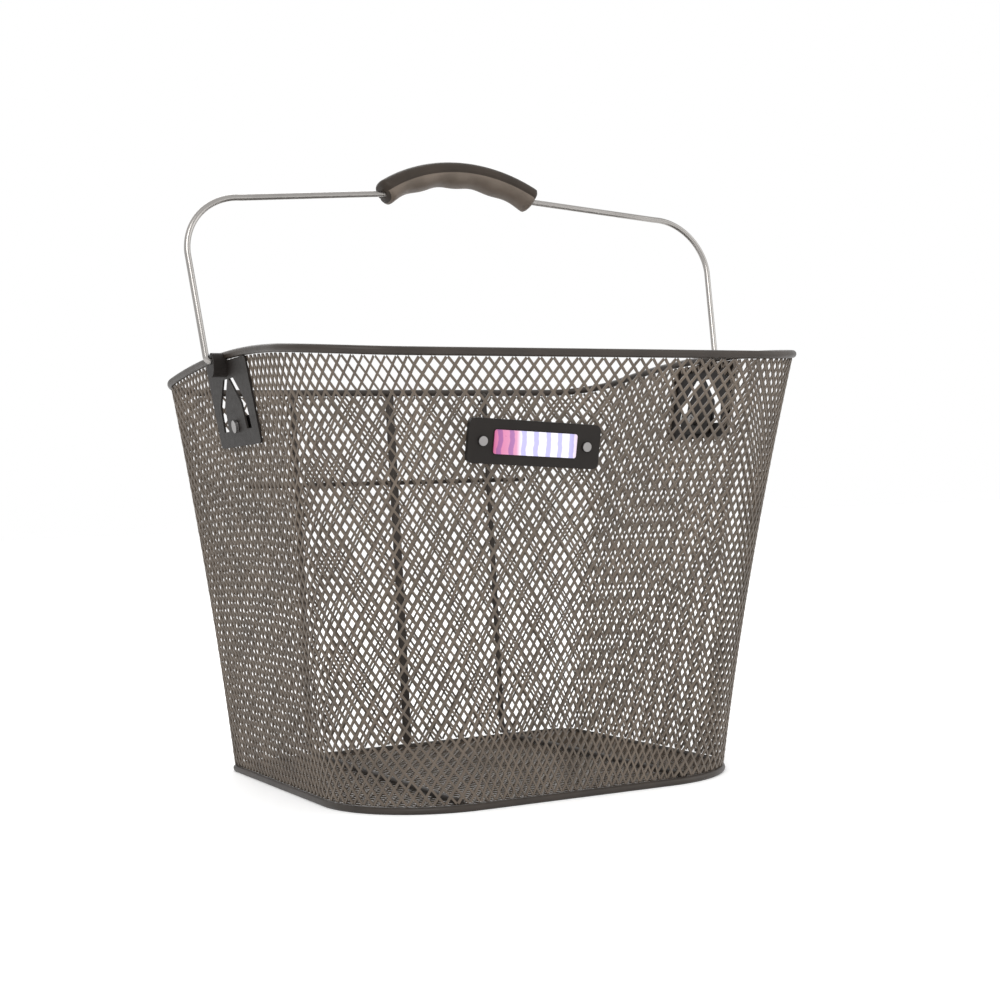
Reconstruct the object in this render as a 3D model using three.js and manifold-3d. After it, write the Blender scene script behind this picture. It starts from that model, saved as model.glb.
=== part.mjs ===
// A bicycle handlebar basket of wire mesh on a wire frame, with a folding bail handle.
// Millimetres, +Z up. +X runs along the back wall, -Y is the front with the badge, +Y faces the handlebar.
// The origin is the centre of the footprint, on the plane that the basket stands on.
import * as THREE from "three";
import { mergeVertices } from "three/addons/utils/BufferGeometryUtils.js";
import Module from "manifold-3d";

const wasm = await Module();
wasm.setup();

// Driving dimensions
const RIM = { width: 350, depth: 300, backRadius: 40, frontRadius: 60, shiftY: 0 };
const BASE = { width: 272, depth: 256, backRadius: 18, frontRadius: 70, shiftY: 11 };
const RIM_HEIGHT = 264; // centre of the rim wire along the front and the back
const SIDE_CROWN = 11; // how much higher the rim is in the middle of each side
const WALL_FLARE = 0.25; // how much the walls curve out towards the rim
const GAP = 0.3; // clearance between neighbouring pieces

const RIM_WIRE = 2.5; // wire radii
const BASE_WIRE = 2.2;
const FRAME_WIRE = 2;
const CROSS_WIRE = 1.75;
const BAIL_WIRE = 2;
const SHEET = 1.4; // thickness of the mesh sheet

const FRAME_X = 77; // the two frame wires stand this far either side of the centre
const FRAME_BEND = 11;
const CROSS_HEIGHT = 197;
const CROSS_LENGTH = 222;

const HINGE = { y: -8, width: 76, height: 53, thickness: 1.2, corner: 3, topDrop: 0.5 };
const SLOT = { footSpread: 22, footHeight: 10, apexSpread: 5.5, apexHeight: 42, width: 9 };
const WINDOW = { width: 54, bottom: 8, top: 46 }; // cut in the mesh behind each hinge plate
const SCREW = { height: 12.5, shank: 1.9, head: 4, headDepth: 2, hole: 2.2 };
const BACKING = { width: 34, height: 15, bottom: 3, thickness: 2 };
const NUT = { radius: 3.8, depth: 3 };
const EAR = { radius: 5, drop: 5, face: 184, root: 174 }; // the lug that holds the bail's end

const PIVOT = { y: -5, z: 271.5 };
const BAIL = { foot: 187, shoulder: 192, corner: 38, cornerTop: 108, gripEnd: 116.2, tip: 178.9, bend: 2.6 };
const BAIL_LEAN = 11.9; // degrees that the raised bail leans towards the handlebar
const GRIP = { halfLength: 55, rise: 16, halfHeight: 8, halfDepth: 9.5, bumps: 4, bumpDepth: 1.3 };
const WIRE_RISE = 15; // how far the wire arches inside the grip
const WIRE_ARCH = 53; // half the length of that arch

const BADGE = { x: -37.5, z: 212, width: 86, height: 26, thickness: 3, corner: 4, turn: -3.8 };
const LABEL = { width: 54, height: 14, thickness: 0.6, corner: 1.5 };
const PIN = { spread: 34, radius: 1.5, hole: 2, push: 4, pushDepth: 1 };

const CORNER_STEPS = 8; // stations round each corner of an outline
const SIDE_STEPS = 10; // and along each side, which is crowned
const EDGE_STEPS = 2; // and along the straight front and back
const WIRE_SIDES = 12;

const finish = (color, roughness, metalness) =>
  new THREE.MeshStandardMaterial({ color, roughness, metalness });
const COATED_MESH = finish(0x4c433a, 0.6, 0.3);
const COATED_WIRE = finish(0x453b33, 0.5, 0.35);
const BLACK_PLASTIC = finish(0x2b2620, 0.5, 0);
const CHROME = finish(0xb9b9b6, 0.2, 1);
const ZINC = finish(0x8d8a88, 0.35, 0.9);
const GRIP_PLASTIC = finish(0x4a4036, 0.55, 0);
const LABEL_FILM = finish(0xe8e2ea, 0.4, 0);

const basket = new THREE.Group();

function add(parent, name, geometry, material) {
  const mesh = new THREE.Mesh(geometry, material);
  mesh.name = name;
  parent.add(mesh);
  return mesh;
}

// ---- Solids ----

function toSolid(geometry) {
  const bare = geometry.index ? geometry.toNonIndexed() : geometry.clone();
  bare.deleteAttribute("normal");
  bare.deleteAttribute("uv");
  const merged = mergeVertices(bare, 1e-4);
  return new wasm.Manifold(
    new wasm.Mesh({
      numProp: 3,
      vertProperties: merged.attributes.position.array,
      triVerts: new Uint32Array(merged.index.array),
    }),
  );
}

function toGeometry(solid) {
  const { vertProperties, triVerts } = solid.getMesh();
  const geometry = new THREE.BufferGeometry();
  geometry.setAttribute("position", new THREE.BufferAttribute(vertProperties, 3));
  geometry.setIndex(new THREE.BufferAttribute(triVerts, 1));
  geometry.computeVertexNormals();
  return geometry;
}

function cut(geometry, ...tools) {
  return toGeometry(tools.reduce((solid, tool) => solid.subtract(toSolid(tool)), toSolid(geometry)));
}

function join(...geometries) {
  return toGeometry(geometries.map(toSolid).reduce((all, solid) => all.add(solid)));
}

// A closed skin over equal rings of points, each counterclockwise about the direction in which they follow
// each other. The last ring either runs on into the first, or both end in flat caps.
function skin(rings, endless) {
  const count = rings[0].length;
  const vertices = rings.flat().flatMap((point) => point.toArray());
  const faces = [];
  const spans = endless ? rings.length : rings.length - 1;
  for (let span = 0; span < spans; span++) {
    const here = span * count;
    const there = ((span + 1) % rings.length) * count;
    for (let side = 0; side < count; side++) {
      const next = (side + 1) % count;
      faces.push(here + side, here + next, there + next, here + side, there + next, there + side);
    }
  }
  if (!endless) {
    const last = (rings.length - 1) * count;
    for (let side = 1; side < count - 1; side++) {
      faces.push(0, side + 1, side, last, last + side, last + side + 1);
    }
  }
  const geometry = new THREE.BufferGeometry();
  geometry.setAttribute("position", new THREE.Float32BufferAttribute(vertices, 3));
  geometry.setIndex(faces);
  geometry.computeVertexNormals();
  return geometry;
}

// A wire's centre line through chosen stations, with one step of the extrusion from each to the next.
class Route extends THREE.Curve {
  constructor(stations) {
    super();
    this.stations = stations;
  }

  getUtoTmapping(u) {
    return u;
  }

  getPoint(t) {
    const at = t * (this.stations.length - 1);
    const from = Math.min(Math.floor(at + 1e-9), this.stations.length - 2);
    return this.stations[from].clone().lerp(this.stations[from + 1], at - from);
  }

  getTangent(t) {
    const last = this.stations.length - 1;
    const at = Math.round(t * last);
    const before = this.stations[Math.max(at - 1, 0)];
    const after = this.stations[Math.min(at + 1, last)];
    const arrive = this.stations[at].clone().sub(before).normalize();
    return after.clone().sub(this.stations[at]).normalize().add(arrive).normalize();
  }
}

// A regular polygon with a flat side facing each way along both of its axes.
function wireSection(radius, sides = WIRE_SIDES) {
  const points = [];
  for (let side = 0; side < sides; side++) {
    const angle = ((side + 0.5) * 2 * Math.PI) / sides;
    points.push(new THREE.Vector2(radius * Math.cos(angle), radius * Math.sin(angle)));
  }
  return points;
}

function wire(stations, radius, sides = WIRE_SIDES) {
  return new THREE.ExtrudeGeometry(new THREE.Shape(wireSection(radius, sides)), {
    steps: stations.length - 1,
    extrudePath: new Route(stations),
  });
}

function roundedPlate(width, height, thickness, corner, holes = []) {
  const shape = new THREE.Shape();
  const x = width / 2 - corner;
  const y = height / 2 - corner;
  shape.absarc(x, y, corner, 0, Math.PI / 2);
  shape.absarc(-x, y, corner, Math.PI / 2, Math.PI);
  shape.absarc(-x, -y, corner, Math.PI, 1.5 * Math.PI);
  shape.absarc(x, -y, corner, 1.5 * Math.PI, 2 * Math.PI);
  shape.holes = holes;
  const plate = new THREE.ExtrudeGeometry(shape, { depth: thickness, bevelEnabled: false, curveSegments: 4 });
  return plate.translate(0, 0, -thickness / 2);
}

// A cylinder along +Z from one height to another.
function peg(radius, from, to, sides = WIRE_SIDES) {
  return new THREE.CylinderGeometry(radius, radius, to - from, sides)
    .rotateX(Math.PI / 2)
    .translate(0, 0, (from + to) / 2);
}

// ---- The basket's surface ----

// A closed outline seen from above. The stations of two outlines correspond, so a wall can join them.
function planOutline({ width, depth, backRadius, frontRadius, shiftY }) {
  const corners = [
    { x: 1, y: -1, radius: frontRadius, from: -Math.PI / 2, stepsAfter: SIDE_STEPS },
    { x: 1, y: 1, radius: backRadius, from: 0, stepsAfter: EDGE_STEPS },
    { x: -1, y: 1, radius: backRadius, from: Math.PI / 2, stepsAfter: SIDE_STEPS },
    { x: -1, y: -1, radius: frontRadius, from: Math.PI, stepsAfter: EDGE_STEPS },
  ];
  const arcs = corners.map(({ x, y, radius, from }) => {
    const centre = new THREE.Vector2(x * (width / 2 - radius), shiftY + y * (depth / 2 - radius));
    return Array.from({ length: CORNER_STEPS + 1 }, (_, step) => {
      const angle = from + (step / CORNER_STEPS) * (Math.PI / 2);
      const normal = new THREE.Vector2(Math.cos(angle), Math.sin(angle));
      return { point: centre.clone().addScaledVector(normal, radius), normal };
    });
  });
  return arcs.flatMap((arc, index) => {
    const end = arc[CORNER_STEPS];
    const start = arcs[(index + 1) % arcs.length][0];
    const steps = corners[index].stepsAfter;
    const straight = Array.from({ length: steps - 1 }, (_, step) => ({
      point: end.point.clone().lerp(start.point, (step + 1) / steps),
      normal: end.normal.clone(),
    }));
    return [...arc, ...straight];
  });
}

const rimOutline = planOutline(RIM);
const baseOutline = planOutline(BASE);

const rimHeight = (y) => RIM_HEIGHT + SIDE_CROWN * (1 - (y / (RIM.depth / 2)) ** 2);

// How far out the wall has come at a share of its height, from 0 at the base to 1 at the rim.
const spread = (share) => share + WALL_FLARE * share * (share - 1);

function wallPoint(station, share, outwards) {
  const base = baseOutline[station];
  const rim = rimOutline[station];
  const reach = spread(share);
  const normal = base.normal.clone().lerp(rim.normal, reach).normalize();
  const plan = base.point.clone().lerp(rim.point, reach).addScaledVector(normal, outwards);
  return new THREE.Vector3(plan.x, plan.y, share * rimHeight(rim.point.y));
}

// The middle of the back and front walls, and of the sides, by height.
const wallReach = (height, top) => spread(height / top);
const backY = (z) => THREE.MathUtils.lerp(
  BASE.shiftY + BASE.depth / 2, RIM.depth / 2, wallReach(z, RIM_HEIGHT));
const frontY = (z) => THREE.MathUtils.lerp(
  BASE.shiftY - BASE.depth / 2, -RIM.depth / 2, wallReach(z, RIM_HEIGHT));
const sideX = (z) => THREE.MathUtils.lerp(
  BASE.width / 2, RIM.width / 2, wallReach(z, RIM_HEIGHT + SIDE_CROWN));

// A wire laid along an outline, one ring of points at each station.
function outlineWire(outline, heightAt, radius, inset = 0) {
  const section = wireSection(radius).reverse();
  const rings = outline.map(({ point, normal }) => section.map(({ x, y }) => {
    const plan = point.clone().addScaledVector(normal, x - inset);
    return new THREE.Vector3(plan.x, plan.y, heightAt(point.y) + y);
  }));
  return skin(rings, true);
}

const flatRadius = (radius) => radius * Math.cos(Math.PI / WIRE_SIDES);
const baseCentre = flatRadius(BASE_WIRE); // the base wire rests on its flat underside
const rimWire = (radius) => outlineWire(rimOutline, rimHeight, radius);

// ---- Fixing places on the walls ----

// A frame standing on a wall at a height: its local +Z points out of the wall and its +Y up the wall.
function wallFrame(position, below, above, turn, outward) {
  const up = above.clone().sub(below).normalize();
  const out = outward.clone().addScaledVector(up, -outward.dot(up)).normalize();
  const across = up.clone().cross(out);
  const frame = new THREE.Group();
  frame.position.copy(position);
  frame.quaternion.setFromRotationMatrix(new THREE.Matrix4().makeBasis(across, up, out));
  frame.rotateZ(THREE.MathUtils.degToRad(turn));
  frame.updateMatrix();
  return frame;
}

function hingeFrame(sign) {
  const top = RIM_HEIGHT + SIDE_CROWN - RIM_WIRE - HINGE.topDrop;
  const bottom = top - HINGE.height;
  const at = (z) => new THREE.Vector3(sign * sideX(z), HINGE.y, z);
  const middle = at(top).lerp(at(bottom), 0.5);
  return wallFrame(middle, at(bottom), at(top), 0, new THREE.Vector3(sign, 0, 0));
}

function badgeFrame() {
  const at = (z) => new THREE.Vector3(BADGE.x, frontY(z), z);
  const below = at(BADGE.z - BADGE.height / 2);
  const above = at(BADGE.z + BADGE.height / 2);
  return wallFrame(below.clone().lerp(above, 0.5), below, above, BADGE.turn, new THREE.Vector3(0, -1, 0));
}

const hingeFrames = { left: hingeFrame(-1), right: hingeFrame(1) };
const badgePlace = badgeFrame();
const plateFace = SHEET / 2 + GAP; // a plate's inner face, out from the middle of the sheet
const plateHeight = (fromBottom) => fromBottom - HINGE.height / 2;

// ---- Mesh sheets ----

function wallSheet() {
  const bottom = (2 * baseCentre + GAP) / RIM_HEIGHT;
  const levels = [0, 0.2, 0.4, 0.6, 0.8, 1];
  const rings = rimOutline.map(({ point }, station) => {
    const top = 1 - (RIM_WIRE + GAP) / rimHeight(point.y);
    const shares = levels.map((level) => bottom + level * (top - bottom));
    const inner = shares.map((share) => wallPoint(station, share, -SHEET / 2));
    const outer = shares.map((share) => wallPoint(station, share, SHEET / 2)).reverse();
    return [...inner, ...outer];
  });
  const windows = Object.values(hingeFrames).map((frame) => {
    const height = WINDOW.top - WINDOW.bottom;
    const middle = plateHeight((WINDOW.top + WINDOW.bottom) / 2);
    return new THREE.BoxGeometry(WINDOW.width, height, 8 * SHEET)
      .translate(0, middle, 0)
      .applyMatrix4(frame.matrix);
  });
  const pinHoles = [-1, 1].map((side) => peg(PIN.hole, -4 * SHEET, 4 * SHEET)
    .translate(side * PIN.spread, 0, 0)
    .applyMatrix4(badgePlace.matrix));
  return cut(skin(rings, true), ...windows, ...pinHoles);
}

function floorSheet() {
  const inset = BASE_WIRE + GAP;
  const outline = baseOutline.map(({ point, normal }) => point.clone().addScaledVector(normal, -inset));
  const sheet = new THREE.ExtrudeGeometry(new THREE.Shape(outline), { depth: SHEET, bevelEnabled: false });
  return sheet.translate(0, 0, baseCentre - SHEET / 2);
}

// ---- Frame wires ----

const floorTop = baseCentre + SHEET / 2;

// Down the inside of the back wall, round a bend and forward over the floor to the base wire.
function frameWire(x) {
  const off = SHEET / 2 + GAP + FRAME_WIRE;
  const floorZ = floorTop + GAP + FRAME_WIRE;
  const top = RIM_HEIGHT - RIM_WIRE - GAP;
  const bendTop = floorZ + FRAME_BEND;
  const bendY = backY(bendTop) - off - FRAME_BEND;
  const stations = [top, 0.75 * top, 0.5 * top, 0.25 * top, bendTop + FRAME_BEND].map(
    (z) => new THREE.Vector3(x, backY(z) - off, z));
  const bendSteps = 6;
  for (let step = 0; step <= bendSteps; step++) {
    const angle = (step / bendSteps) * (Math.PI / 2);
    const y = bendY + FRAME_BEND * Math.cos(angle);
    stations.push(new THREE.Vector3(x, y, bendTop - FRAME_BEND * Math.sin(angle)));
  }
  const frontEnd = BASE.shiftY - BASE.depth / 2 + cornerInset(x) + BASE_WIRE + 2 * GAP;
  stations.push(new THREE.Vector3(x, frontEnd, floorZ));
  return wire(stations, FRAME_WIRE);
}

// How far the base wire has turned back at this distance from the centre, on the front corners.
function cornerInset(x) {
  const past = Math.max(0, Math.abs(x) + FRAME_WIRE - (BASE.width / 2 - BASE.frontRadius));
  return BASE.frontRadius - Math.sqrt(BASE.frontRadius ** 2 - past ** 2);
}

function crossWire() {
  const y = backY(CROSS_HEIGHT) + SHEET / 2 + GAP + CROSS_WIRE;
  return new THREE.CylinderGeometry(CROSS_WIRE, CROSS_WIRE, CROSS_LENGTH, WIRE_SIDES)
    .rotateY(Math.PI / WIRE_SIDES)
    .rotateZ(Math.PI / 2)
    .translate(0, y, CROSS_HEIGHT);
}

// ---- Hinges ----

// One of the two slanting slots that leave a triangular tongue between them, as a cutter through the plate.
function tongueSlot(side) {
  const foot = new THREE.Vector2(side * SLOT.footSpread, plateHeight(SLOT.footHeight));
  const apex = new THREE.Vector2(side * SLOT.apexSpread, plateHeight(SLOT.apexHeight));
  const shift = side * SLOT.width / 2;
  const corners = [
    new THREE.Vector2(foot.x - shift, foot.y),
    new THREE.Vector2(foot.x + shift, foot.y),
    new THREE.Vector2(foot.x + 0.6 * shift, (foot.y + apex.y) / 2),
    new THREE.Vector2(apex.x + 0.9 * shift, apex.y),
    new THREE.Vector2(apex.x - 0.9 * shift, apex.y),
    new THREE.Vector2(foot.x - 1.4 * shift, (foot.y + apex.y) / 2),
  ];
  const cutter = new THREE.ExtrudeGeometry(new THREE.Shape(corners), { depth: 20, bevelEnabled: false });
  return cutter.translate(0, 0, -5);
}

function hingePlate(sign, frame) {
  const blank = roundedPlate(HINGE.width, HINGE.height, HINGE.thickness, HINGE.corner)
    .translate(0, 0, plateFace + HINGE.thickness / 2);
  const flat = cut(blank, tongueSlot(-1), tongueSlot(1)).applyMatrix4(frame.matrix);
  const earShape = new THREE.Shape();
  earShape.absarc(0, 0, EAR.radius, 0, Math.PI);
  earShape.absarc(0, -EAR.drop, EAR.radius, Math.PI, 2 * Math.PI);
  const ear = new THREE.ExtrudeGeometry(earShape, {
    depth: EAR.face - EAR.root, bevelEnabled: false, curveSegments: 8,
  });
  const stood = alongX(ear.translate(0, 0, EAR.root), sign).translate(0, PIVOT.y, PIVOT.z);
  const bore = alongX(peg(BAIL_WIRE + 0.35, BAIL.tip - GAP, EAR.face + 1, 16), sign)
    .translate(0, PIVOT.y, PIVOT.z);
  const screwHole = peg(SCREW.hole, -10, 10)
    .translate(0, plateHeight(SCREW.height), 0)
    .applyMatrix4(frame.matrix);
  const inside = new THREE.BoxGeometry(HINGE.width, HINGE.height * 2, 20)
    .translate(0, 0, plateFace - 10)
    .applyMatrix4(frame.matrix);
  return cut(join(flat, stood), inside, bore, screwHole, rimWire(RIM_WIRE + GAP));
}

// Turns a shape that stands along +Z, with its own +Y up, so that it points out of one side of the basket.
function alongX(geometry, sign) {
  const across = new THREE.Vector3(0, sign, 0);
  const up = new THREE.Vector3(0, 0, 1);
  const out = new THREE.Vector3(sign, 0, 0);
  return geometry.applyMatrix4(new THREE.Matrix4().makeBasis(across, up, out));
}

function screwBody() {
  const headFrom = plateFace + HINGE.thickness + GAP;
  const end = -(plateFace + BACKING.thickness + 2 * GAP + NUT.depth + 1);
  return join(
    peg(SCREW.head, headFrom, headFrom + SCREW.headDepth, 20),
    peg(SCREW.shank, end, headFrom + 0.5),
  );
}

function addHinge(side, frame) {
  const sign = side === "left" ? -1 : 1;
  add(basket, `hinge_plate_${side}`, hingePlate(sign, frame), BLACK_PLASTIC);
  const fixings = new THREE.Group();
  fixings.position.copy(frame.position);
  fixings.quaternion.copy(frame.quaternion);
  const hole = new THREE.Path().absarc(0, 0, SCREW.hole, 0, 2 * Math.PI);
  const screwY = plateHeight(SCREW.height);
  const barShift = plateHeight(BACKING.bottom + BACKING.height / 2) - screwY;
  const barHole = new THREE.Path().absarc(0, -barShift, SCREW.hole, 0, 2 * Math.PI);
  const bar = roundedPlate(BACKING.width, BACKING.height, BACKING.thickness, 2, [barHole]);
  const barMesh = add(fixings, `backing_plate_${side}`, bar, BLACK_PLASTIC);
  barMesh.position.set(0, screwY + barShift, -(plateFace + BACKING.thickness / 2));
  add(fixings, `hinge_screw_${side}`, screwBody(), ZINC).position.set(0, screwY, 0);
  const hexagon = new THREE.Shape(wireSection(NUT.radius, 6));
  hexagon.holes = [hole];
  const nut = new THREE.ExtrudeGeometry(hexagon, { depth: NUT.depth, bevelEnabled: false, curveSegments: 6 });
  const nutZ = -(plateFace + BACKING.thickness + GAP + NUT.depth);
  add(fixings, `hinge_nut_${side}`, nut, ZINC).position.set(0, screwY, nutZ);
  basket.add(fixings);
}

// ---- Badge ----

function addBadge() {
  const place = new THREE.Group();
  place.position.copy(badgePlace.position);
  place.quaternion.copy(badgePlace.quaternion);
  const pinHole = (side, radius) => peg(radius, -20, 20).translate(side * PIN.spread, 0, 0);
  const backFace = plateFace + 0.3; // the sheet bulges a little behind the flat badge
  const plate = cut(
    roundedPlate(BADGE.width, BADGE.height, BADGE.thickness, BADGE.corner)
      .translate(0, 0, backFace + BADGE.thickness / 2),
    pinHole(-1, PIN.hole),
    pinHole(1, PIN.hole),
  );
  add(place, "badge_plate", plate, BLACK_PLASTIC);
  const label = roundedPlate(LABEL.width, LABEL.height, LABEL.thickness, LABEL.corner);
  const labelZ = backFace + BADGE.thickness + GAP + LABEL.thickness / 2;
  add(place, "badge_label", label, LABEL_FILM).position.set(0, 0, labelZ);
  const headFrom = backFace + BADGE.thickness + GAP;
  const pinEnd = -(plateFace + PIN.pushDepth + 2 * GAP + 1);
  for (const [side, sign] of [["left", -1], ["right", 1]]) {
    const head = peg(PIN.radius + 1.3, headFrom, headFrom + 1, 16);
    const pin = join(head, peg(PIN.radius, pinEnd, headFrom + 0.5));
    add(place, `badge_pin_${side}`, pin, ZINC).position.set(sign * PIN.spread, 0, 0);
    const washer = new THREE.Shape().absarc(0, 0, PIN.push, 0, 2 * Math.PI);
    washer.holes = [new THREE.Path().absarc(0, 0, PIN.hole, 0, 2 * Math.PI)];
    const thickness = { depth: PIN.pushDepth, bevelEnabled: false, curveSegments: 6 };
    const clip = new THREE.ExtrudeGeometry(washer, thickness);
    const clipZ = -(plateFace + 0.3 + PIN.pushDepth);
    add(place, `badge_clip_${side}`, clip, ZINC).position.set(sign * PIN.spread, 0, clipZ);
  }
  basket.add(place);
}

// ---- Bail handle, drawn upright with its pivot line on the X axis ----

// Height of the bail wire's centre line above the pivot, between the shoulders.
function barHeight(x) {
  const distance = Math.abs(x);
  if (distance >= GRIP.halfLength) {
    const along = (distance - GRIP.halfLength) / (BAIL.shoulder - BAIL.corner - GRIP.halfLength);
    return THREE.MathUtils.lerp(BAIL.gripEnd, BAIL.cornerTop, along);
  }
  const inside = Math.max(0, 1 - (distance / WIRE_ARCH) ** 2);
  return BAIL.gripEnd + WIRE_RISE * inside ** 1.5;
}

function bailHalf() {
  const half = [new THREE.Vector3(BAIL.tip, 0, 0)];
  const bendSteps = 4;
  for (let step = 0; step <= bendSteps; step++) {
    const angle = (step / bendSteps) * (Math.PI / 2);
    const x = BAIL.foot - BAIL.bend + BAIL.bend * Math.sin(angle);
    half.push(new THREE.Vector3(x, 0, BAIL.bend * (1 - Math.cos(angle))));
  }
  const cornerX = BAIL.shoulder - BAIL.corner;
  const cornerZ = BAIL.cornerTop - BAIL.corner;
  const cornerSteps = 9;
  for (let step = 0; step <= cornerSteps; step++) {
    const angle = (step / cornerSteps) * (Math.PI / 2);
    const x = cornerX + BAIL.corner * Math.cos(angle);
    half.push(new THREE.Vector3(x, 0, cornerZ + BAIL.corner * Math.sin(angle)));
  }
  const archSteps = 8;
  half.push(new THREE.Vector3(GRIP.halfLength + 1, 0, barHeight(GRIP.halfLength + 1)));
  for (let step = 0; step < archSteps; step++) {
    const x = WIRE_ARCH * (1 - step / archSteps);
    half.push(new THREE.Vector3(x, 0, barHeight(x)));
  }
  return half;
}

function bailStations() {
  const half = bailHalf();
  const mirrored = half.map(({ x, y, z }) => new THREE.Vector3(-x, y, z)).reverse();
  return [...half, new THREE.Vector3(0, 0, barHeight(0)), ...mirrored];
}

// An arched bar with a rounded section, rippled below for the fingers.
function gripBody() {
  const stations = 32;
  const sides = 16;
  const radius = (GRIP.halfLength ** 2 + GRIP.rise ** 2) / (2 * GRIP.rise);
  const halfAngle = Math.asin(GRIP.halfLength / radius);
  const middle = BAIL.gripEnd + GRIP.rise;
  const rings = Array.from({ length: stations + 1 }, (_, station) => {
    const share = station / stations;
    const angle = THREE.MathUtils.lerp(-halfAngle, halfAngle, share);
    const along = new THREE.Vector3(Math.sin(angle), 0, Math.cos(angle));
    const centre = along.clone().multiplyScalar(radius).add(new THREE.Vector3(0, 0, middle - radius));
    const ripple = GRIP.bumpDepth * Math.cos(2 * Math.PI * GRIP.bumps * (share - 0.5));
    return Array.from({ length: sides }, (_, side) => {
      const turn = (2 * Math.PI * side) / sides;
      const low = Math.max(0, -Math.sin(turn));
      const rise = GRIP.halfHeight * Math.sin(turn) + ripple * low;
      return centre.clone()
        .addScaledVector(along, rise)
        .add(new THREE.Vector3(0, GRIP.halfDepth * Math.cos(turn), 0));
    });
  });
  const channel = wire(bailStations(), BAIL_WIRE + GAP + 0.1);
  return cut(skin(rings, false), channel);
}

function addBail() {
  const bail = new THREE.Group();
  bail.position.set(0, PIVOT.y, PIVOT.z);
  bail.rotation.x = THREE.MathUtils.degToRad(-BAIL_LEAN);
  add(bail, "bail_wire", wire(bailStations(), BAIL_WIRE), CHROME);
  add(bail, "grip", gripBody(), GRIP_PLASTIC);
  basket.add(bail);
}

// ---- Assembly ----

add(basket, "wall_mesh", wallSheet(), COATED_MESH);
add(basket, "floor_mesh", floorSheet(), COATED_MESH);
add(basket, "rim_wire", rimWire(RIM_WIRE), COATED_WIRE);
add(basket, "base_wire", outlineWire(baseOutline, () => baseCentre, BASE_WIRE), COATED_WIRE);
add(basket, "frame_wire_left", frameWire(-FRAME_X), COATED_WIRE);
add(basket, "frame_wire_right", frameWire(FRAME_X), COATED_WIRE);
add(basket, "back_cross_wire", crossWire(), COATED_WIRE);
addHinge("left", hingeFrames.left);
addHinge("right", hingeFrames.right);
addBadge();
addBail();

export default basket;
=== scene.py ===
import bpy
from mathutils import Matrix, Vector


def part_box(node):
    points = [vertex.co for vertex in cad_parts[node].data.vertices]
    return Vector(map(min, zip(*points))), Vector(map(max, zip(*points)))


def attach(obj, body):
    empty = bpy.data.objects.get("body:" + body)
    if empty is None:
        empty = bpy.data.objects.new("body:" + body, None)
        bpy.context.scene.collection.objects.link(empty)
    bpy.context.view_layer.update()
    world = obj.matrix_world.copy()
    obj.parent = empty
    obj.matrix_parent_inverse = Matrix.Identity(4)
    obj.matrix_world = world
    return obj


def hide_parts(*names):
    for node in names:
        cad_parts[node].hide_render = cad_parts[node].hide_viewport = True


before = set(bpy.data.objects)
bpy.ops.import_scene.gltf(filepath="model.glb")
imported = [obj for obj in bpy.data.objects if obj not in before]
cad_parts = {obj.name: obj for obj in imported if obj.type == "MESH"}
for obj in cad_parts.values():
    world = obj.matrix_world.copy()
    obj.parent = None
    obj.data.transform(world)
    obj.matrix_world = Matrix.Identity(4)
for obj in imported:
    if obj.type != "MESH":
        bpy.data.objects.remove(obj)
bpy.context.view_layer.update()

# The handlebar basket's looks: diamond mesh, powder-coated wire, moulded plastic, a plated bail and its grip.

import math

import bpy
import numpy as np
from mathutils import Matrix, Vector

# Driving sizes in metres, wires by their radius. Widths, depths and heights are read from the frame below.
RIM_WIRE = 0.0025
BASE_WIRE = 0.0022
FRAME_WIRE = 0.002
CROSS_WIRE = 0.00175
BAIL_WIRE = 0.002
SHEET = 0.0014
GAP = 0.0003
SIDE_CROWN = 0.011
WALL_FLARE = 0.25
RIM_CORNERS = {"back": 0.040, "front": 0.060}
BASE_CORNERS = {"back": 0.018, "front": 0.070}
FRAME_BEND = 0.011
WELD = 0.0024
CROSS_WELD = 0.0026

MESH_COLUMNS = 164
MESH_ROW = 0.005  # height of half a diamond
STRAND_SHARE = 0.76  # how much of a diamond is open, along its axes
STRAND_DEPTH = 0.0009
STRAND_TILT = 0.00022
FLOOR_INSET = 0.002
SEAM_COLUMNS = 2
SEAM_LIFT = 0.0011
SEAM_RAMP = 0.6  # columns over which the lap rises clear of the sheet's other end
HEM = {"width": 0.0068, "depth": 0.0013, "steps": 90, "pinch": 0.05}
WINDOW = {"sides": 0.0075, "bottom": 0.0045, "top": 0.0105}  # cleared mesh, inset from each hinge plate's box

BAIL = {"foot": 0.187, "shoulder": 0.192, "corner": 0.038, "corner_top": 0.108, "tip": 0.1789, "bend": 0.0026}
BAIL_LEAN = math.radians(-11.9)
PIVOT = Vector((0, -0.005, 0.2715))
GRIP = {"half_length": 0.055, "rise": 0.016, "start": 0.1162, "half_height": 0.008, "half_depth": 0.0095}
GRIP_SQUARENESS = 2.6  # exponent of the rounded section: 2 is an ellipse
GRIP_BUMPS = 4
GRIP_BUMP_DEPTH = 0.0013
GRIP_END = {"round": 0.0022, "size": 0.80}
GRIP_JOINT = {"height": -0.12, "width": 0.07, "depth": 0.001}  # height and width are shares of the section
GRIP_STEPS = 96
GRIP_SIDES = 48
WIRE_RISE = 0.015  # how far the bail wire arches up inside the grip, over WIRE_ARCH each way
WIRE_ARCH = 0.053

CAMERA_AZIMUTH = -27.0
CAMERA_ELEVATION = -0.3
CAMERA_ROLL = -2.1
CAMERA_AIM = Vector((0.0127, -0.0007, 0.1807))
CAMERA_DISTANCE = 1.109
CAMERA_LENS = 59.9  # mm, on a sensor of CAMERA_SENSOR mm
CAMERA_SENSOR = 36.0

FLOOR_SIZE = 40.0
FLOOR_WHITE = 0.97
FLOOR_GLOW = 0.12
PURE_WHITE = (1, 1, 1, 1)


# ---- Camera, floor and light ----

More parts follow.
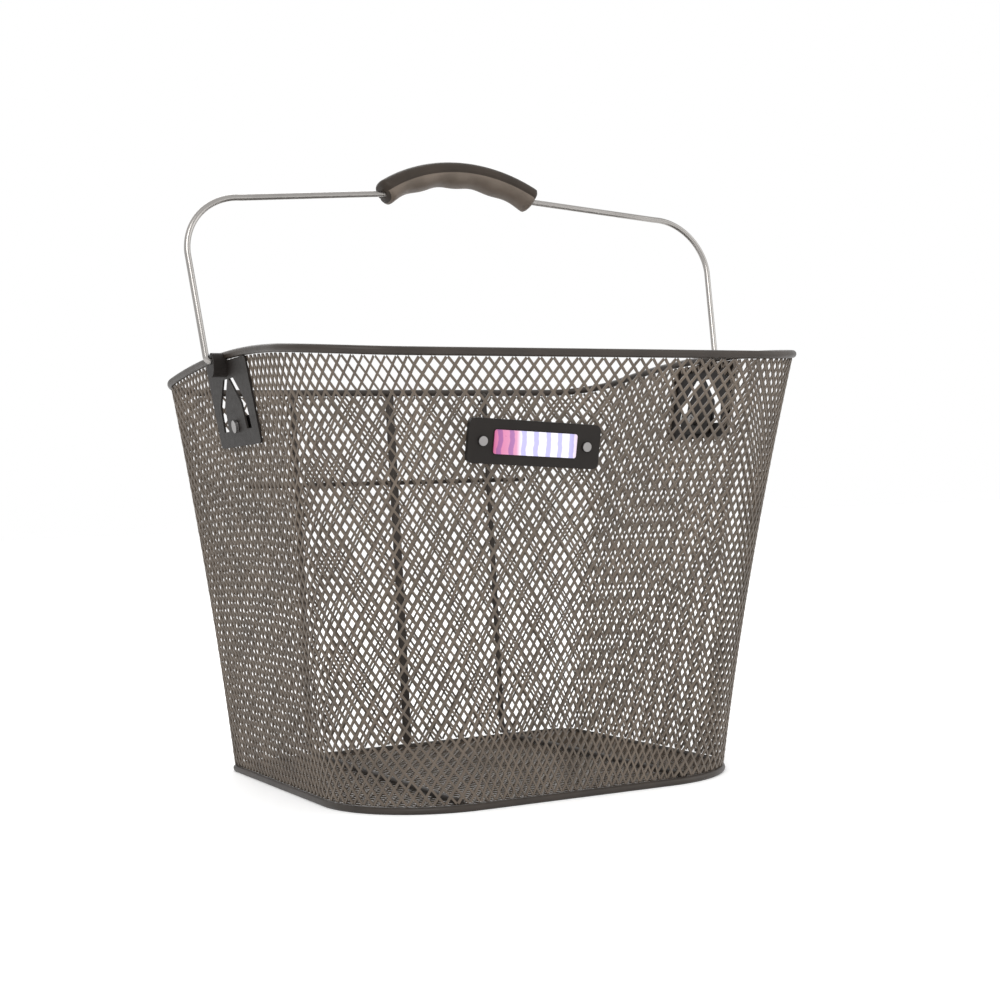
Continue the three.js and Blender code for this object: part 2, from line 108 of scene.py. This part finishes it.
def make_camera():
    azimuth, elevation, roll = (math.radians(a) for a in (CAMERA_AZIMUTH, CAMERA_ELEVATION, CAMERA_ROLL))
    back = Vector((
        math.sin(azimuth) * math.cos(elevation),
        -math.cos(azimuth) * math.cos(elevation),
        math.sin(elevation),
    ))
    camera = bpy.data.objects.new("camera", bpy.data.cameras.new("camera"))
    bpy.context.collection.objects.link(camera)
    camera.data.lens = CAMERA_LENS
    camera.data.sensor_width = CAMERA_SENSOR
    camera.data.clip_start = 0.05
    camera.data.clip_end = 50.0
    turn = (-back).to_track_quat("-Z", "Y") @ Matrix.Rotation(roll, 3, "Z").to_quaternion()
    camera.rotation_mode = "QUATERNION"
    camera.rotation_quaternion = turn
    camera.location = CAMERA_AIM + back * CAMERA_DISTANCE
    bpy.context.scene.camera = camera


def add_area(name, place, target, size, power):
    light = bpy.data.lights.new(name, "AREA")
    light.size = size
    light.energy = power
    holder = bpy.data.objects.new(name, light)
    holder.location = place
    holder.rotation_euler = (Vector(target) - Vector(place)).to_track_quat("-Z", "Y").to_euler()
    bpy.context.collection.objects.link(holder)


def make_studio():
    bpy.ops.mesh.primitive_plane_add(size=FLOOR_SIZE)
    floor = bpy.context.object
    floor.name = "studio_floor"
    paint = bpy.data.materials.new("studio_floor")
    paint.use_nodes = True
    shader = paint.node_tree.nodes["Principled BSDF"]
    shader.inputs["Base Color"].default_value = (FLOOR_WHITE, FLOOR_WHITE, FLOOR_WHITE, 1)
    shader.inputs["Roughness"].default_value = 0.9
    shader.inputs["Emission Color"].default_value = PURE_WHITE
    shader.inputs["Emission Strength"].default_value = FLOOR_GLOW
    floor.data.materials.append(paint)
    world = bpy.data.worlds.new("studio")
    world.use_nodes = True
    world.node_tree.nodes["Background"].inputs["Color"].default_value = PURE_WHITE
    world.node_tree.nodes["Background"].inputs["Strength"].default_value = 1.0
    bpy.context.scene.world = world
    bpy.context.scene.view_settings.view_transform = "Standard"
    add_area("key", place=(-1.2, -1.8, 1.9), target=(0, 0, 0.15), size=1.2, power=26)
    add_area("fill", place=(1.9, -1.2, 1.0), target=(0, 0, 0.2), size=1.6, power=10)
    add_area("rim", place=(0.5, 1.9, 1.6), target=(0, 0, 0.2), size=1.4, power=14)


# ---- Materials ----

class Paint:
    """A material under construction: its node tree, its shader and its texture coordinates."""

    def __init__(self, name):
        self.material = bpy.data.materials.new(name)
        self.material.use_nodes = True
        self.nodes = self.material.node_tree.nodes
        self.links = self.material.node_tree.links
        self.shader = self.nodes["Principled BSDF"]
        self.place = self.nodes.new("ShaderNodeTexCoord")

    def noise(self, scale, detail, stretch=(1, 1, 1)):
        mapping = self.nodes.new("ShaderNodeMapping")
        mapping.inputs["Scale"].default_value = stretch
        self.links.new(self.place.outputs["Object"], mapping.inputs["Vector"])
        texture = self.nodes.new("ShaderNodeTexNoise")
        texture.inputs["Scale"].default_value = scale
        texture.inputs["Detail"].default_value = detail
        self.links.new(mapping.outputs["Vector"], texture.inputs["Vector"])
        return texture.outputs["Fac"]

    def ramp(self, value, stops):
        ramp = self.nodes.new("ShaderNodeValToRGB")
        elements = ramp.color_ramp.elements
        while len(elements) < len(stops):
            elements.new(0.5)
        for element, (position, colour) in zip(elements, stops):
            element.position = position
            element.color = (*colour, 1)
        self.links.new(value, ramp.inputs["Fac"])
        return ramp.outputs["Color"]

    def colour(self, value, stops):
        self.links.new(self.ramp(value, stops), self.shader.inputs["Base Color"])

    def roughness(self, value, low, high):
        spread = self.nodes.new("ShaderNodeMapRange")
        spread.inputs["To Min"].default_value = low
        spread.inputs["To Max"].default_value = high
        self.links.new(value, spread.inputs["Value"])
        self.links.new(spread.outputs["Result"], self.shader.inputs["Roughness"])

    def bump(self, value, strength, height):
        bump = self.nodes.new("ShaderNodeBump")
        bump.inputs["Strength"].default_value = strength
        bump.inputs["Distance"].default_value = height
        self.links.new(value, bump.inputs["Height"])
        self.links.new(bump.outputs["Normal"], self.shader.inputs["Normal"])


def shades(colour, *factors):
    return [tuple(min(1.0, channel * factor) for channel in colour) for factor in factors]


def powder_coat(name, colour):
    """Stoved powder paint: an orange-peel skin, slightly uneven in tone and gloss."""
    paint = Paint(name)
    dark, plain, light = shades(colour, 0.78, 1.0, 1.22)
    paint.colour(paint.noise(scale=46, detail=6), [(0.32, dark), (0.5, plain), (0.7, light)])
    paint.roughness(paint.noise(scale=120, detail=3), low=0.38, high=0.58)
    paint.bump(paint.noise(scale=1400, detail=2), strength=0.35, height=0.0002)
    paint.shader.inputs["Specular IOR Level"].default_value = 0.35
    paint.shader.inputs["Coat Weight"].default_value = 0.08
    paint.shader.inputs["Coat Roughness"].default_value = 0.35
    return paint.material


def moulded_plastic(name, colour, grain):
    """Injection-moulded plastic with a fine spark-eroded grain."""
    paint = Paint(name)
    dark, plain, light = shades(colour, 0.85, 1.0, 1.15)
    paint.colour(paint.noise(scale=60, detail=5), [(0.35, dark), (0.5, plain), (0.68, light)])
    paint.roughness(paint.noise(scale=300, detail=4), low=0.42, high=0.6)
    paint.bump(paint.noise(scale=grain, detail=3), strength=0.4, height=0.00025)
    paint.shader.inputs["Specular IOR Level"].default_value = 0.22
    return paint.material


def plated(name, colour, low, high, streaks):
    """Plating over drawn wire or turned steel: faint streaks and a changing gloss."""
    paint = Paint(name)
    paint.shader.inputs["Metallic"].default_value = 1.0
    dark, plain, light = shades(colour, 0.86, 1.0, 1.08)
    paint.colour(paint.noise(scale=30, detail=5), [(0.3, dark), (0.5, plain), (0.75, light)])
    paint.roughness(paint.noise(scale=90, detail=6), low, high)
    paint.bump(paint.noise(scale=700, detail=3, stretch=streaks), strength=0.03, height=0.00005)
    return paint.material


def printed_label():
    """A generic print: a pink block at one end and wavy pale lilac bands on a white field."""
    paint = Paint("label_film")
    split = paint.nodes.new("ShaderNodeSeparateXYZ")
    paint.links.new(paint.place.outputs["Generated"], split.inputs["Vector"])
    field = paint.ramp(split.outputs["X"], [
        (0.0, (0.42, 0.08, 0.20)), (0.06, (0.55, 0.16, 0.31)), (0.27, (0.62, 0.27, 0.42)),
        (0.33, (0.80, 0.76, 0.84)), (0.90, (0.80, 0.78, 0.86)), (1.0, (0.62, 0.50, 0.62)),
    ])
    bands = paint.nodes.new("ShaderNodeTexWave")
    bands.wave_profile = "SIN"
    bands.inputs["Scale"].default_value = 2.2
    bands.inputs["Distortion"].default_value = 1.5
    paint.links.new(paint.place.outputs["Generated"], bands.inputs["Vector"])
    tint = paint.ramp(bands.outputs["Fac"], [(0.55, (1, 1, 1)), (0.75, (0.55, 0.55, 0.84))])
    print_mix = paint.nodes.new("ShaderNodeMix")
    print_mix.data_type = "RGBA"
    print_mix.blend_type = "MULTIPLY"
    print_mix.inputs["Factor"].default_value = 1.0
    paint.links.new(field, print_mix.inputs["A"])
    paint.links.new(tint, print_mix.inputs["B"])
    paint.links.new(print_mix.outputs["Result"], paint.shader.inputs["Base Color"])
    paint.roughness(paint.noise(scale=200, detail=3), low=0.22, high=0.4)
    return paint.material


MESH_PAINT = powder_coat("coated_mesh", (0.098, 0.076, 0.057))
WIRE_PAINT = powder_coat("coated_wire", (0.026, 0.019, 0.014))
PLATE_PLASTIC = moulded_plastic("black_plastic", (0.010, 0.0075, 0.006), grain=1800)
GRIP_DARK = moulded_plastic("grip_plastic", (0.030, 0.022, 0.016), grain=1500)
GRIP_PALE = moulded_plastic("grip_inlay", (0.125, 0.100, 0.080), grain=1500)
CHROME = plated("chrome_wire", (0.34, 0.325, 0.31), low=0.18, high=0.32, streaks=(1, 1, 0.1))
ZINC = plated("zinc", (0.30, 0.29, 0.285), low=0.30, high=0.46, streaks=(1, 1, 1))
LABEL = printed_label()


# ---- Mesh building ----

def add_piece(name, vertices, faces, materials, body, slot, smooth=True):
    data = bpy.data.meshes.new(name)
    data.from_pydata([tuple(v) for v in vertices], [], faces)
    data.validate()
    for material in materials:
        data.materials.append(material)
    if smooth:
        data.polygons.foreach_set("use_smooth", [True] * len(data.polygons))
    data.update()
    piece = bpy.data.objects.new(name, data)
    bpy.context.collection.objects.link(piece)
    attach(piece, body)
    return piece


def skin_faces(rings, sides, closed):
    """Quads between equal rings of points, each counterclockwise about the way they follow each other."""
    faces = []
    for ring in range(rings if closed else rings - 1):
        here = ring * sides
        there = ((ring + 1) % rings) * sides
        for side in range(sides):
            following = (side + 1) % sides
            faces.append((here + side, here + following, there + following, there + side))
    if not closed:
        faces.append(tuple(reversed(range(sides))))
        last = (rings - 1) * sides
        faces.append(tuple(range(last, last + sides)))
    return faces


def tube_mesh(points, radius, sides=16, closed=False):
    """Vertices and faces of a round wire along points, with its frame carried along without twist."""
    points = [Vector(p) for p in points]
    count = len(points)
    vertices = []
    normal = None
    for index, point in enumerate(points):
        before = points[(index - 1) % count] if closed or index else point
        after = points[(index + 1) % count] if closed or index < count - 1 else point
        along = (after - before).normalized()
        if normal is None:
            normal = along.orthogonal().normalized()
        normal = (normal - along * normal.dot(along)).normalized()
        side_way = along.cross(normal)
        for side in range(sides):
            turn = 2 * math.pi * side / sides
            vertices.append(point + (normal * math.cos(turn) + side_way * math.sin(turn)) * radius)
    return vertices, skin_faces(count, sides, closed)


def merge_meshes(*meshes):
    vertices, faces = [], []
    for part_vertices, part_faces in meshes:
        start = len(vertices)
        vertices += list(part_vertices)
        faces += [tuple(start + v for v in face) for face in part_faces]
    return vertices, faces


# ---- The basket's surface, worked out from the frame ----

def flat_size(node, wire):
    low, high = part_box(node)
    return {
        "width": high.x - low.x - 2 * wire,
        "depth": high.y - low.y - 2 * wire,
        "shift": (high.y + low.y) / 2,
    }


RIM = flat_size("rim_wire", RIM_WIRE) | RIM_CORNERS
BASE = flat_size("base_wire", BASE_WIRE) | BASE_CORNERS
BASE_HEIGHT = (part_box("base_wire")[0].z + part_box("base_wire")[1].z) / 2
RIM_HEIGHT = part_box("rim_wire")[1].z - RIM_WIRE - SIDE_CROWN
CORNER_STEPS = 24
STRAIGHT_STEPS = 24


def plan_outline(size):
    """Points and outward normals round a plan outline, starting at the middle of the back, anticlockwise."""
    half_width, half_depth = size["width"] / 2, size["depth"] / 2
    corners = [(-1, 1, size["back"], 90), (-1, -1, size["front"], 180),
               (1, -1, size["front"], 270), (1, 1, size["back"], 360)]
    points, normals = [(0.0, size["shift"] + half_depth)], [(0.0, 1.0)]

    def run_to(point, normal):
        start = points[-1]
        for step in range(1, STRAIGHT_STEPS):
            share = step / STRAIGHT_STEPS
            points.append(tuple(a + (b - a) * share for a, b in zip(start, point)))
            normals.append(normal)

    for x, y, radius, start_angle in corners:
        centre = (x * (half_width - radius), size["shift"] + y * (half_depth - radius))
        for step in range(CORNER_STEPS + 1):
            angle = math.radians(start_angle + 90 * step / CORNER_STEPS)
            normal = (math.cos(angle), math.sin(angle))
            point = (centre[0] + radius * normal[0], centre[1] + radius * normal[1])
            if step == 0:
                run_to(point, normal)
            points.append(point)
            normals.append(normal)
    run_to(points[0], (0.0, 1.0))
    points.append(points[0])
    normals.append((0.0, 1.0))
    return np.array(points), np.array(normals)


RIM_POINTS, RIM_NORMALS = plan_outline(RIM)
BASE_POINTS, BASE_NORMALS = plan_outline(BASE)
MIDDLE = (RIM_POINTS + BASE_POINTS) / 2
TRAVEL = np.concatenate([[0], np.cumsum(np.hypot(*np.diff(MIDDLE, axis=0).T))])
ROUND = TRAVEL[-1]


def rim_height(y):
    return RIM_HEIGHT + SIDE_CROWN * (1 - (2 * y / RIM["depth"]) ** 2)


def spread(share):
    return share + WALL_FLARE * share * (share - 1)


def wall_surface(along, share, outwards):
    """Points of the wall: along is the share of the way round, share the height up to the rim."""
    travel = (along % 1.0) * ROUND

    def sample(values):
        return np.stack([np.interp(travel, TRAVEL, values[:, axis]) for axis in (0, 1)], -1)

    reach = spread(share)[..., None]
    rim = sample(RIM_POINTS)
    normal = sample(BASE_NORMALS) * (1 - reach) + sample(RIM_NORMALS) * reach
    normal /= np.linalg.norm(normal, axis=-1, keepdims=True)
    plan = sample(BASE_POINTS) * (1 - reach) + rim * reach + normal * outwards[..., None]
    return np.concatenate([plan, (share * rim_height(rim[..., 1]))[..., None]], -1)


def back_y(height):
    reach = spread(height / RIM_HEIGHT)
    base = BASE["shift"] + BASE["depth"] / 2
    return base + (RIM["depth"] / 2 - base) * reach


# ---- Diamond mesh ----

# The right, top, left and bottom corner of a diamond, in columns and rows from its centre.
CORNERS = np.array([(0.5, 0.0), (0.0, 1.0), (-0.5, 0.0), (0.0, -1.0)])


def diamond_faces(columns, rows, keep):
    """Strands round the open diamonds and crossings between them, as quads over the holes' corners."""
    index = {}
    for row in range(rows):
        for column in range(columns):
            if keep[row, column]:
                index[row, column] = 4 * len(index)

    faces = []
    for (row, column), here in index.items():
        shift = row % 2
        up_right = index.get((row + 1, column + shift))
        up_left = index.get((row + 1, column + shift - 1))
        down_right = index.get((row - 1, column + shift))
        right = index.get((row, column + 1))
        if up_right is not None:
            faces.append((here, up_right + 3, up_right + 2, here + 1))
        if up_left is not None:
            faces.append((here + 1, up_left, up_left + 3, here + 2))
        if None not in (right, up_right, down_right):
            faces.append((here, down_right + 1, right + 2, up_right + 3))
    return index, faces


def stagger(row, column):
    """Column and row of the middle of a diamond: every second row is half a diamond along."""
    return column + 0.5 * (row % 2), row.astype(float)


def mesh_sheet(name, rows, columns, place, keep, node):
    """A sheet of expanded metal: place(column, row, lift) gives the surface points."""
    index, faces = diamond_faces(columns, rows, keep)
    cells = np.array(list(index))
    centre = np.stack(stagger(cells[:, 0], cells[:, 1]), -1)
    corner = centre[:, None, :] + STRAND_SHARE * CORNERS[None]
    lift = np.array([0.0, 1.0, 0.0, -1.0]) * STRAND_TILT
    points = place(corner[..., 0], corner[..., 1], np.broadcast_to(lift, corner.shape[:2]))
    piece = add_piece(name, points.reshape(-1, 3), faces, [MESH_PAINT], "basket", "coated_mesh", smooth=False)
    solid = piece.modifiers.new("strands", "SOLIDIFY")
    solid.thickness = STRAND_DEPTH
    solid.offset = 0
    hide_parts(node)


def wall_mesh():
    rows = int(round((RIM_HEIGHT - BASE_HEIGHT) / MESH_ROW))
    columns = MESH_COLUMNS + SEAM_COLUMNS

    def place(column, row, lift):
        along = column / MESH_COLUMNS
        lap = np.clip((column - MESH_COLUMNS) / SEAM_RAMP + 1.0, 0.0, 1.0) * SEAM_LIFT
        low = BASE_HEIGHT / RIM_HEIGHT
        share = low + (1 - low) * (row + 0.5) / rows
        return wall_surface(along, share, lift + lap)

    keep = np.ones((rows, columns), bool)
    cells = np.argwhere(keep)
    centre = place(*stagger(cells[:, 0], cells[:, 1]), np.zeros(len(cells)))
    for side in ("left", "right"):
        low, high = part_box(f"hinge_plate_{side}")
        in_y = (centre[:, 1] > low.y + WINDOW["sides"]) & (centre[:, 1] < high.y - WINDOW["sides"])
        in_z = (centre[:, 2] > low.z + WINDOW["bottom"]) & (centre[:, 2] < high.z - WINDOW["top"])
        same_side = (centre[:, 0] > 0) == (side == "right")
        drop = cells[in_y & in_z & same_side]
        keep[drop[:, 0], drop[:, 1]] = False
    mesh_sheet("diamond_wall", rows, columns, place, keep, "wall_mesh")


def seam_hem():
    """The folded hem that joins the two ends of the wall's sheet, up the middle of the back.

    The section is in shares of the hem's width and depth, so it runs clockwise seen from above.
    """
    section = [(0.5, 0.1), (0.42, 0.5), (0.12, 0.5), (0.0, 0.3), (-0.12, 0.5), (-0.42, 0.5),
               (-0.5, 0.1), (-0.42, -0.4), (0.42, -0.4)]
    low, high = BASE_HEIGHT + BASE_WIRE, RIM_HEIGHT - RIM_WIRE
    vertices = []
    for step in range(HEM["steps"] + 1):
        height = low + (high - low) * step / HEM["steps"]
        pinch = 1.0 + HEM["pinch"] * math.cos(math.pi * height / MESH_ROW)
        for x, inward in section:
            vertices.append((x * HEM["width"] * pinch, back_y(height) - inward * HEM["depth"], height))
    faces = [tuple(reversed(face)) for face in skin_faces(HEM["steps"] + 1, len(section), False)]
    add_piece("seam_hem", vertices, faces, [WIRE_PAINT], "basket", "coated_mesh", smooth=False)


def inside_outline(points, size, inset):
    """Which plan points lie inside an outline, at least inset from it."""
    half_width, half_depth = size["width"] / 2 - inset, size["depth"] / 2 - inset
    x, y = np.abs(points[..., 0]), points[..., 1] - size["shift"]
    radius = np.where(y > 0, size["back"], size["front"]) - inset
    past_x, past_y = x - (half_width - radius), np.abs(y) - (half_depth - radius)
    corner = (past_x > 0) & (past_y > 0)
    return (x < half_width) & (np.abs(y) < half_depth) & (~corner | (np.hypot(past_x, past_y) < radius))


def floor_mesh():
    pitch = ROUND / MESH_COLUMNS
    columns = int(BASE["width"] / pitch) + 2
    rows = int(BASE["depth"] / MESH_ROW) + 2
    middle = Vector((0, BASE["shift"], BASE_HEIGHT))

    def place(column, row, lift):
        x = middle.x + (column - columns / 2) * pitch
        y = middle.y + (row - rows / 2) * MESH_ROW
        return np.stack([x, y, middle.z + lift], -1)

    row, column = np.mgrid[0:rows, 0:columns]
    spots = place(*stagger(row, column), np.zeros(row.shape))
    keep = inside_outline(spots, BASE, FLOOR_INSET)
    mesh_sheet("diamond_floor", rows, columns, place, keep, "floor_mesh")


# ---- Wires ----

def painted_wire(name, meshes, node):
    piece = add_piece(name, *merge_meshes(*meshes), [WIRE_PAINT], "basket", "coated_wire")
    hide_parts(node)


def weld_bead(centre, size, stretch):
    """A small nugget where two wires are resistance welded, with its top and bottom flattened."""
    rings, sides, flat = 6, 12, 0.06
    vertices = []
    for ring in range(rings + 1):
        tilt = math.pi * (flat + (1 - 2 * flat) * ring / rings)
        for side in range(sides):
            turn = -2 * math.pi * side / sides
            wide = math.sin(tilt)
            offset = (wide * math.cos(turn), wide * math.sin(turn), math.cos(tilt))
            vertices.append([c + size * a * b for c, a, b in zip(centre, offset, stretch)])
    return vertices, skin_faces(rings + 1, sides, False)


def ring_points(points, height_at):
    return [(x, y, height_at(y)) for x, y in points[:-1]]


def frame_wire_points(x, low, high):
    """Down inside the back wall, round a bend and forward over the floor, as far as the CAD wire's box."""
    off = SHEET / 2 + GAP + FRAME_WIRE
    floor = BASE_HEIGHT + off
    bend_y = back_y(floor + FRAME_BEND) - off - FRAME_BEND
    bend_steps, clear = 16, 0.005
    points = [(x, back_y(z) - off, z) for z in np.linspace(high.z, floor + 2 * FRAME_BEND, 40)]
    for step in range(bend_steps + 1):
        angle = math.pi / 2 * step / bend_steps
        across, down = FRAME_BEND * math.cos(angle), FRAME_BEND * math.sin(angle)
        points.append((x, bend_y + across, floor + FRAME_BEND - down))
    points += [(x, y, floor) for y in np.linspace(bend_y - clear, low.y, 20)]
    return points


def make_wires():
    rim = tube_mesh(ring_points(RIM_POINTS, rim_height), RIM_WIRE, sides=18, closed=True)
    painted_wire("rim_ring", [rim], "rim_wire")
    base = tube_mesh(ring_points(BASE_POINTS, lambda y: BASE_HEIGHT), BASE_WIRE, sides=18, closed=True)
    painted_wire("base_ring", [base], "base_wire")
    cross_low, cross_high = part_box("back_cross_wire")
    cross_z = (cross_low.z + cross_high.z) / 2
    for side in ("left", "right"):
        low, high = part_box(f"frame_wire_{side}")
        x = (low.x + high.x) / 2
        rod = tube_mesh(frame_wire_points(x, low, high), FRAME_WIRE)
        welds = [
            weld_bead((x, back_y(cross_z), cross_z), CROSS_WELD, (1, 1.2, 1)),
            weld_bead((x, high.y - FRAME_WIRE, high.z - FRAME_WIRE / 2), WELD, (1, 1, 1.3)),
            weld_bead((x, low.y + FRAME_WIRE / 4, BASE_HEIGHT + FRAME_WIRE), WELD, (1, 1.3, 1)),
        ]
        painted_wire(f"frame_rod_{side}", [rod, *welds], f"frame_wire_{side}")
    cross_y = (cross_low.y + cross_high.y) / 2
    cross = [(x, cross_y, cross_z) for x in np.linspace(cross_low.x, cross_high.x, 24)]
    painted_wire("cross_rod", [tube_mesh(cross, CROSS_WIRE)], "back_cross_wire")


# ---- Plates, screws and badge: the CAD shapes with softened edges ----

SHARP_EDGE = math.radians(35)


def dress(node, material, edge):
    """Give a CAD node its material, and round its sharp edges by the width of edge."""
    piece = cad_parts[node]
    for slot in piece.material_slots:
        slot.material = material
    bevel = piece.modifiers.new("edges", "BEVEL")
    bevel.width = edge
    bevel.segments = 2
    bevel.limit_method = "ANGLE"
    bevel.angle_limit = SHARP_EDGE


def make_fittings():
    for side in ("left", "right"):
        dress(f"hinge_plate_{side}", PLATE_PLASTIC, 0.0004)
        dress(f"backing_plate_{side}", PLATE_PLASTIC, 0.0004)
        dress(f"hinge_screw_{side}", ZINC, 0.0003)
        dress(f"hinge_nut_{side}", ZINC, 0.0003)
        dress(f"badge_pin_{side}", ZINC, 0.0002)
        dress(f"badge_clip_{side}", ZINC, 0.0001)
    dress("badge_plate", PLATE_PLASTIC, 0.0007)
    dress("badge_label", LABEL, 0.0001)


# ---- Bail and grip, modelled upright about the pivot line and then leant back ----

def leant(points):
    turn = Matrix.Rotation(BAIL_LEAN, 4, "X")
    return [PIVOT + (turn @ Vector(p)) for p in points]


def bar_height(x):
    distance = abs(x)
    if distance >= GRIP["half_length"]:
        reach = BAIL["shoulder"] - BAIL["corner"] - GRIP["half_length"]
        share = min(1.0, (distance - GRIP["half_length"]) / reach)
        return GRIP["start"] + (BAIL["corner_top"] - GRIP["start"]) * share
    lift = max(0.0, 1 - (x / WIRE_ARCH) ** 2)
    return GRIP["start"] + WIRE_RISE * lift ** 1.5


def bail_points():
    """One side of the bail's centre line, from the turned-in end to the middle of the grip."""
    foot, bend = BAIL["foot"], BAIL["bend"]
    corner = Vector((BAIL["shoulder"] - BAIL["corner"], 0, BAIL["corner_top"] - BAIL["corner"]))
    bend_steps, leg_steps, corner_steps, bar_steps = 8, 24, 32, 80
    points = [Vector((BAIL["tip"], 0, 0))]
    for step in range(bend_steps + 1):
        angle = math.pi / 2 * step / bend_steps
        points.append(Vector((foot - bend + bend * math.sin(angle), 0, bend - bend * math.cos(angle))))
    leg_start = points[-1]
    leg_end = corner + Vector((BAIL["corner"], 0, 0))
    for step in range(1, leg_steps):
        points.append(leg_start.lerp(leg_end, step / leg_steps))
    for step in range(corner_steps + 1):
        angle = math.pi / 2 * step / corner_steps
        points.append(corner + BAIL["corner"] * Vector((math.cos(angle), 0, math.sin(angle))))
    for x in np.linspace(corner.x, 0, bar_steps)[1:]:
        points.append(Vector((x, 0, bar_height(x))))
    return points


def grip_section(share):
    """The grip at a share of its length: place and height, slope, size of section, and ripple underneath."""
    x = (2 * share - 1) * GRIP["half_length"]
    half, rise = GRIP["half_length"], GRIP["rise"]
    radius = (half ** 2 + rise ** 2) / (2 * rise)
    height = GRIP["start"] + math.sqrt(radius ** 2 - x ** 2) - (radius - rise)
    slope = math.asin(x / radius)
    end = min(share, 1 - share) * 2 * half
    rounding = min(1.0, end / GRIP_END["round"])
    squeeze = GRIP_END["size"] + (1 - GRIP_END["size"]) * math.sqrt(max(0.0, 1 - (1 - rounding) ** 2))
    ripple = GRIP_BUMP_DEPTH * 0.5 * (1 - math.cos(2 * math.pi * GRIP_BUMPS * share))
    return x, height, slope, squeeze, ripple


def grip_ring(share):
    """Points round the grip at a share of its length, with a groove where its two colours meet."""
    x, height, slope, squeeze, ripple = grip_section(share)
    points = []
    for side in range(GRIP_SIDES):
        turn = 2 * math.pi * side / GRIP_SIDES
        across, upward = math.cos(turn), math.sin(turn)
        reach = (abs(across) ** GRIP_SQUARENESS + abs(upward) ** GRIP_SQUARENESS) ** (-1 / GRIP_SQUARENESS)
        groove = math.exp(-((upward - GRIP_JOINT["height"]) / GRIP_JOINT["width"]) ** 2)
        depth = reach * across * squeeze * (GRIP["half_depth"] - groove * GRIP_JOINT["depth"])
        underside = min(1.0, max(0.0, (-upward - 0.2) / 0.4))
        lift = GRIP["half_height"] * reach * upward * squeeze + ripple * underside
        points.append((x + lift * math.sin(slope), depth, height + lift * math.cos(slope)))
    return points


def make_grip():
    """A moulded grip: a dark back and a paler finger side with ripples."""
    vertices = [point for ring in range(GRIP_STEPS + 1) for point in grip_ring(ring / GRIP_STEPS)]
    faces = skin_faces(GRIP_STEPS + 1, GRIP_SIDES, False)
    piece = add_piece("grip_body", leant(vertices), faces, [GRIP_DARK, GRIP_PALE], "handle", "grip_plastic")
    for face in piece.data.polygons:
        turn = 2 * math.pi * (face.index % GRIP_SIDES + 0.5) / GRIP_SIDES
        end_cap = face.index >= GRIP_STEPS * GRIP_SIDES
        if not end_cap and math.sin(turn) < GRIP_JOINT["height"]:
            face.material_index = 1
    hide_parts("grip")


def make_bail():
    half = bail_points()
    line = [Vector((-p.x, p.y, p.z)) for p in half] + half[-2::-1]
    vertices, faces = tube_mesh(leant(line), BAIL_WIRE, sides=20)
    wire = add_piece("bail_rod", vertices, faces, [CHROME], "handle", "chrome_wire")
    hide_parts("bail_wire")
    make_grip()


make_camera()
make_studio()
wall_mesh()
seam_hem()
floor_mesh()
make_wires()
make_fittings()
make_bail()
